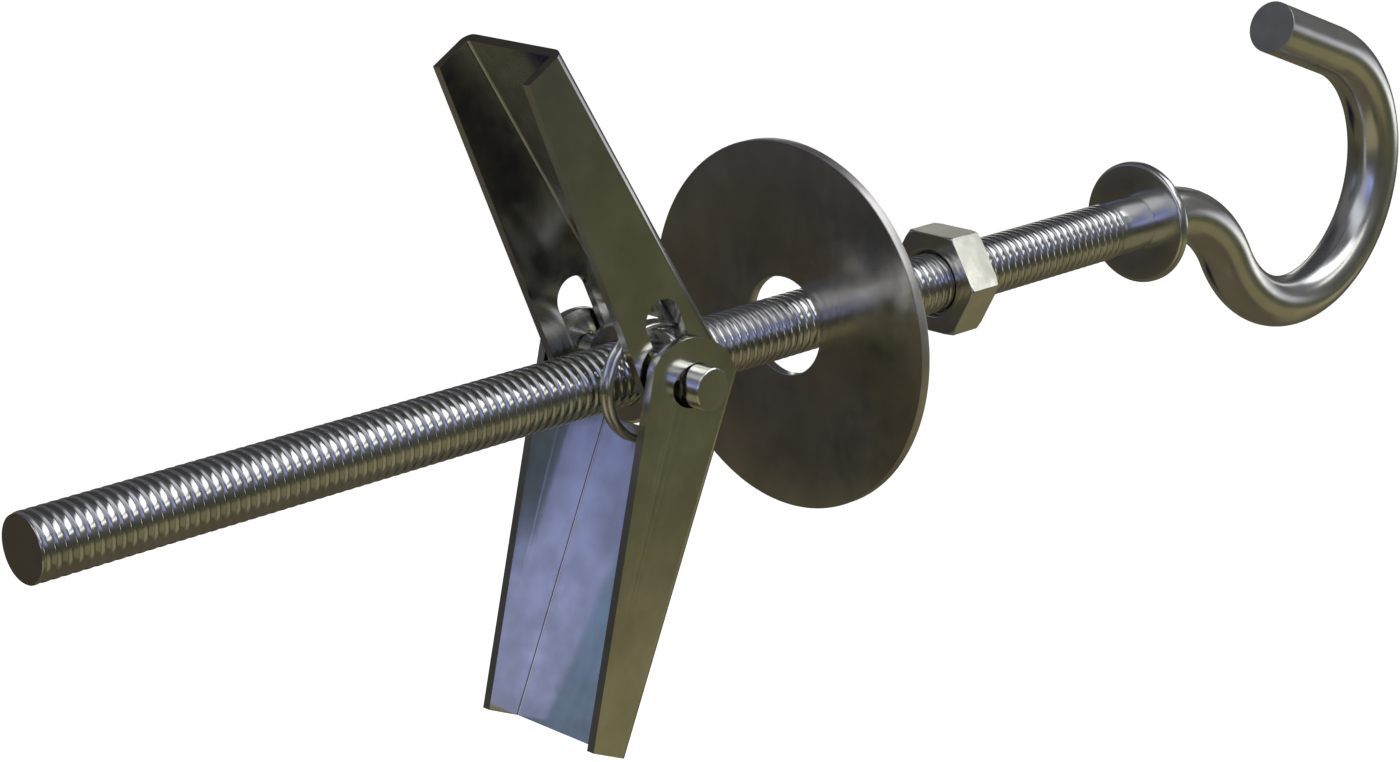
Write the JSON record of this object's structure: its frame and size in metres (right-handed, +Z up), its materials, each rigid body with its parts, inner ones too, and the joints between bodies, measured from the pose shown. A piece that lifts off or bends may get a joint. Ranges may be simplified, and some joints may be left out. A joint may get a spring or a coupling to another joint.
{
  "type": "swag hook with spring toggle",
  "caption": "Threaded rod bent into a round hook, with a spring toggle, a wide washer and a nut, for hanging things from a hollow wall or ceiling.",
  "frame": {"origin": "where the rod's axis meets the washer's wall side face", "axes": "+X along the rod towards the hook, +Z up towards the hook's open side"},
  "size_m": [0.1827, 0.036, 0.0657],
  "materials": {
    "rod_steel": "bright zinc plate",
    "washer_steel": "bright zinc plate",
    "nut_steel": "bright zinc plate",
    "wing_steel": "zinc plate, folded sheet",
    "spring_steel": "drawn spring wire"
  },
  "bodies": {
    "rod": {"hook_rod": "rod_steel", "stop_collar": "rod_steel"},
    "toggle": {"trunnion_nut": "nut_steel", "torsion_spring": "spring_steel"},
    "upper": {"upper_wing": "wing_steel"},
    "lower": {"lower_wing": "wing_steel"},
    "washer": {"wall_washer": "washer_steel"},
    "nut": {"hex_nut": "nut_steel"}
  },
  "joints": [
    {"name": "toggle_travel", "type": "slide", "parent": "rod", "child": "toggle", "axis": [1, 0, 0], "range_m": [-0.058, 0.006]},
    {"name": "upper_wing_fold", "type": "hinge", "parent": "toggle", "child": "upper", "pos_m": [-0.0188, 0, 0], "axis": [0, -1, 0], "range_deg": [0, 57], "stiffness_Nm_per_rad": 0.03, "springref_deg": -28.65, "deforming": ["torsion_spring"]},
    {"name": "lower_wing_fold", "type": "hinge", "parent": "toggle", "child": "lower", "pos_m": [-0.0188, 0, 0], "axis": [0, 1, 0], "range_deg": [0, 61], "stiffness_Nm_per_rad": 0.03, "springref_deg": -28.65, "deforming": ["torsion_spring"]},
    {"name": "washer_slide", "type": "slide", "parent": "rod", "child": "washer", "axis": [1, 0, 0], "range_m": [-0.007, 0.007]},
    {"name": "nut_travel", "type": "slide", "parent": "rod", "child": "nut", "axis": [1, 0, 0], "range_m": [-0.011, 0.022]}
  ]
}
